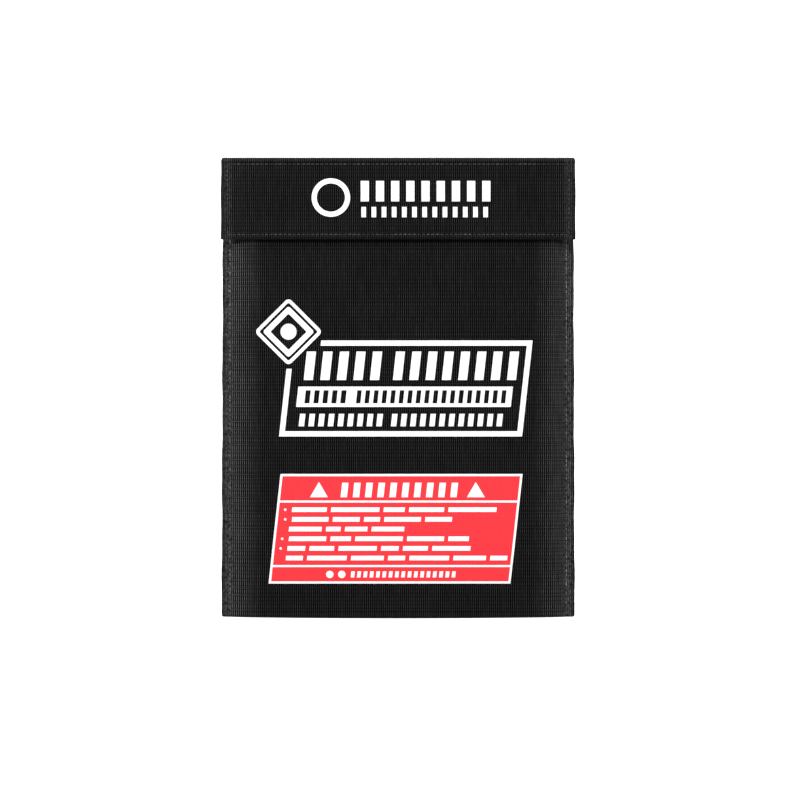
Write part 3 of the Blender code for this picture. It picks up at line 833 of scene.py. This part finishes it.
white_film = film_material("white_transfer_film", (0.97, 0.97, 0.97), (0.88, 0.88, 0.89))
red_film = film_material("red_transfer_film", (0.97, 0.052, 0.064), (0.80, 0.030, 0.040))
ring = ring_grid(-0.0437, 0.1233, 0.0125, 0.0092)
flap_film = film_patch("flap_ring_film", *ring, flap_height, LIFT, around=True)
finish_film(flap_film, white_film, "white_film", "flap", "flap_emblem_print")
for name, node, places in (
    ("flap_upper_blocks", "flap_upper_bar_print", (-0.0243, 0.1208, 0.0599, 0.1341, 9, 0.0046)),
    ("flap_lower_blocks", "flap_lower_bar_print", (-0.0239, 0.1105, 0.0583, 0.1172, 13, 0.0036)),
):
    blocks = join_pieces(name, block_row(*places, flap_height, LIFT, 0))
    finish_film(blocks, white_film, "white_film", "flap", node)


# ---- Badge and title print --------------------------------------------------------------------------------
# White film on the front wall: a rounded diamond with a smaller one and a dot in it, a slanted frame that
# starts and ends at the diamond, and three rows of plain blocks. The middle row stands on a white bar in the
# colour of the bare cloth.

BADGE = (-0.0713, 0.0362)
TITLE = (0.0050, -0.0007)
TITLE_HALF = (0.079, 0.0312)
STROKE = 0.0034


def rounded_diamond(centre, half_diagonal, radius, per_corner=10):
    """Points round a square on its corner: each corner's circle centre plus a quarter-turn arc."""
    turn = np.arange(4)[:, None] * np.pi / 2
    sweep = turn + np.linspace(-np.pi / 4, np.pi / 4, per_corner)[None, :]
    inset = half_diagonal - radius * math.sqrt(2)
    x = centre[0] + inset * np.cos(turn) + radius * np.cos(sweep)
    y = centre[1] + inset * np.sin(turn) + radius * np.sin(sweep)
    return x.ravel(), y.ravel()


def diamond_band(centre, outside, inside, outer_radius, inner_radius):
    """A closed band between two rounded diamonds. The rows run from the outside in."""
    rings = [rounded_diamond(centre, outside, outer_radius), rounded_diamond(centre, inside, inner_radius)]
    share = np.linspace(0, 1, 3)[:, None]
    return [rings[0][i][None, :] * (1 - share) + rings[1][i][None, :] * share for i in (0, 1)]


def leaning_path(outline, half, cut, step=0.004):
    """Points along an open frame, cut in by a stroke, and moved right by LEAN times their height."""
    u, v = np.array(outline, float).T
    x = np.where(np.abs(u) < 1, u * half[0], u * (half[0] - cut))
    y = np.where(np.abs(v) < 1, v * half[1], v * (half[1] - cut))
    run = np.concatenate([[0], np.cumsum(np.hypot(np.diff(u * half[0]), np.diff(v * half[1])))])
    spots = np.unique(np.concatenate([np.arange(0, run[-1], step), run]))
    x, y = np.interp(spots, run, x), np.interp(spots, run, y)
    return TITLE[0] + x + LEAN * y, TITLE[1] + y


for name, node, sizes in (
    ("badge_outline", "badge_base_print", (0.0222, 0.0191, 0.0030, 0.0012)),
    ("badge_ring", "badge_field_print", (0.0168, 0.0118, 0.0016, 0.0008)),
):
    band = film_patch(name, *diamond_band(BADGE, *sizes), front_height, LIFT, around=True)
    finish_film(band, white_film, "white_film", "pouch", node)
badge_dot = film_patch("badge_dot", *disc_grid(*BADGE, 0.0052), front_height, LIFT)
finish_film(badge_dot, white_film, "white_film", "pouch", "badge_centre_print")
frame_outline = ((-1, 0.41), (-1, -1), (1, -1), (1, 1), (-0.74, 1))
outside = leaning_path(frame_outline, TITLE_HALF, 0.0)
inside = leaning_path(frame_outline, TITLE_HALF, STROKE)
share = np.linspace(0, 1, 3)[:, None]
frame_grid = [outside[i][None, :] * (1 - share) + inside[i][None, :] * share for i in (0, 1)]
title_frame = film_patch("title_frame", *frame_grid, front_height, LIFT)
finish_film(title_frame, white_film, "white_film", "pouch", "title_frame_print")


def title_row(name, left, low, right, high, count, gap, *nodes):
    """Equal leaning blocks placed from the title's middle."""
    x, y = TITLE
    shift = LEAN * (low + high) / 2
    pieces = block_row(x + left + shift, y + low, x + right + shift, y + high, count, gap, front_height, LIFT)
    row = join_pieces(name, pieces) if len(pieces) > 1 else pieces[0]
    row.name = row.data.name = name
    finish_film(row, white_film, "white_film", "pouch", *nodes)


title_row("title_first_blocks", -0.0670, 0.0055, -0.0180, 0.0240, 5, 0.0048, "title_first_bar_print")
title_row("title_second_blocks", -0.0090, 0.0055, 0.0710, 0.0240, 8, 0.0048, "title_second_bar_print")
title_row("title_white_bar", -0.0700, -0.0120, 0.0695, 0.0012, 1, 0, "title_white_bar_print")
title_row("title_small_blocks", -0.0670, -0.0246, -0.0130, -0.0165, 9, 0.0028, "title_small_bar_print")
title_row("title_small_blocks_right", -0.0070, -0.0246, 0.0650, -0.0165, 12, 0.0028)
bar_y = TITLE[1] - 0.0054
dark_blocks = []
for left, right, count, gap in ((-0.0655, -0.0390, 5, 0.0026), (-0.0320, 0.0650, 18, 0.0027)):
    edges = (TITLE[0] + left, bar_y - 0.0042, TITLE[0] + right, bar_y + 0.0042)
    dark_blocks += block_row(*edges, count, gap, front_height, SECOND_LIFT)
dark_row = join_pieces("title_dark_blocks", dark_blocks)
finish_film(dark_row, front_coated_cloth, "coated_cloth", "pouch")


# ---- Notice print -----------------------------------------------------------------------------------------
# A red film panel on a white one that shows as its border, with two white rules. Plain bars, dots and
# triangles stand where the real one has wording and signs.

NOTICE = (-0.0017, -0.0920)
NOTICE_HALF = (0.0787, 0.0357)
BORDER = 0.0015
WORD_GAP = 0.0028
BAR_HALF = 0.0015


def notice_block(name, left, low, right, high, lift):
    """A leaning block placed from the notice's middle."""
    x, y = NOTICE
    shift = LEAN * (low + high) / 2
    grid = block_grid(x + left + shift, y + low, x + right + shift, y + high, LEAN)
    return film_patch(name, *grid, front_height, lift)


def notice_triangle(name, middle):
    """A triangle from a square grid: each row is narrower, down to a fifth of a millimetre at the tip."""
    rise = np.linspace(0, 1, 9)[:, None]
    across = np.linspace(-1, 1, 9)[None, :]
    x = middle + across * (0.0057 * (1 - rise) + 0.0001)
    return film_patch(name, x, -0.0714 + 0.0097 * rise + 0 * across, front_height, THIRD_LIFT)


def notice_row(left, low, right, high, count, gap):
    """Equal leaning blocks placed from the notice's middle."""
    x, y = NOTICE
    return block_row(x + left, y + low, x + right, y + high, count, gap, front_height, THIRD_LIFT)


wide, tall = NOTICE_HALF
base_film = notice_block("notice_border", -wide, -tall, wide, tall, LIFT)
finish_film(base_film, white_film, "white_film", "pouch", "notice_base_print")
wide, tall = wide - BORDER, tall - BORDER
red_panel = notice_block("notice_panel", -wide, -tall, wide, tall, SECOND_LIFT)
finish_film(red_panel, red_film, "red_film", "pouch", "notice_panel_print")
for name, low, high, node in (
    ("notice_upper_rule", 0.0171, 0.0184, "notice_upper_rule_print"),
    ("notice_lower_rule", -0.0249, -0.0236, "notice_lower_rule_print"),
):
    rule = notice_block(name, -wide, low, wide, high, THIRD_LIFT)
    finish_film(rule, white_film, "white_film", "pouch", node)
header = join_pieces("notice_header_blocks", notice_row(-0.0352, 0.0206, 0.0402, 0.0300, 10, 0.0038))
finish_film(header, white_film, "white_film", "pouch", "notice_header_bar_print")
footer_films = notice_row(-0.0290, -0.0317, 0.0390, -0.0277, 17, 0.0018)
for dx in (-0.0428, -0.0350):
    dot = disc_grid(NOTICE[0] + dx, NOTICE[1] - 0.0297, 0.0024)
    footer_films.append(film_patch("dot", *dot, front_height, THIRD_LIFT))
footer = join_pieces("notice_footer_blocks", footer_films)
finish_film(footer, white_film, "white_film", "pouch", "notice_footer_bar_print")
for word, middle in (("left", -0.0515), ("right", 0.0505)):
    triangle = notice_triangle(f"notice_{word}_triangle", middle)
    finish_film(triangle, white_film, "white_film", "pouch", f"notice_{word}_triangle_print")
line_starts = (-0.069, -0.069, -0.071, -0.071, -0.072, -0.073)
line_ends = (0.064, 0.035, 0.004, 0.046, 0.047, 0.071)
words = (5, 5, 4, 5, 6, 7)
dotted = (True, True, False, True, True, False)
for line in range(6):
    y = -0.0795 - 0.0063 * line
    span = line_ends[line] - line_starts[line]
    weights = 1 + 0.45 * np.sin(2.1 * np.arange(words[line]) + line)
    widths = weights / weights.sum() * (span - WORD_GAP * (words[line] - 1))
    lefts = line_starts[line] + np.concatenate([[0], np.cumsum(widths + WORD_GAP)[:-1]])
    bars = []
    for left, width in zip(lefts, widths):
        bar = block_grid(left, y - BAR_HALF, left + width, y + BAR_HALF, LEAN)
        bars.append(film_patch("bar", *bar, front_height, THIRD_LIFT))
    if dotted[line]:
        dot = disc_grid(line_starts[line] - 0.0044, y, 0.0008)
        bars.append(film_patch("dot", *dot, front_height, THIRD_LIFT))
    row = join_pieces(f"notice_line_{line + 1}_bars", bars)
    finish_film(row, white_film, "white_film", "pouch", f"notice_line_{line + 1}_print")


# ---- Floor, lights and camera -----------------------------------------------------------------------------
# A white table top, a soft light over each side, a weak fill from all round, and a camera straight above. The
# strongest light comes from the left.

floor_mesh = bpy.data.meshes.new("table_top")
floor_mesh.from_pydata([(-6, -6, 0), (6, -6, 0), (6, 6, 0), (-6, 6, 0)], [], [(0, 1, 2, 3)])
floor = bpy.data.objects.new("table_top", floor_mesh)
bpy.context.scene.collection.objects.link(floor)
floor.location.z = -0.0003
table_white, tree, shader = new_material("table_white")
shader.inputs["Base Color"].default_value = (0.95, 0.95, 0.95, 1)
shader.inputs["Roughness"].default_value = 0.9
shader.inputs["Specular IOR Level"].default_value = 0.0
shader.inputs["Emission Color"].default_value = (1, 1, 1, 1)
shader.inputs["Emission Strength"].default_value = 1.0
floor.data.materials.append(table_white)


def soft_light(name, place, size, power):
    """A square area light at a place, turned to the bag's middle."""
    light = bpy.data.lights.new(name, "AREA")
    light.shape = "SQUARE"
    light.size = size
    light.energy = power
    lamp = bpy.data.objects.new(name, light)
    lamp.location = place
    toward = -lamp.location
    lamp.rotation_euler = toward.to_track_quat("-Z", "Y").to_euler()
    bpy.context.scene.collection.objects.link(lamp)


soft_light("left_light", (-1.30, 0.6, 0.90), 0.5, 29)
soft_light("right_light", (1.30, 0.6, 0.90), 0.5, 18)
soft_light("top_light", (0.0, 1.40, 1.00), 0.7, 12)
soft_light("near_light", (0.0, -1.50, 1.15), 0.7, 11)

world = bpy.data.worlds.new("studio")
world.use_nodes = True
background = world.node_tree.nodes["Background"]
background.inputs["Color"].default_value = (1, 1, 1, 1)
seen = world.node_tree.nodes.new("ShaderNodeLightPath")
strength = spread(world.node_tree, seen.outputs["Is Camera Ray"], 0.14, 1.0)
world.node_tree.links.new(strength, background.inputs["Strength"])
bpy.context.scene.world = world
bpy.context.scene.view_settings.view_transform = "Standard"

camera_data = bpy.data.cameras.new("camera")
camera_data.lens = 100
camera_data.sensor_width = 36
camera = bpy.data.objects.new("camera", camera_data)
camera.location = (0.0012, -0.0082, 1.455)
bpy.context.scene.collection.objects.link(camera)
bpy.context.scene.camera = camera
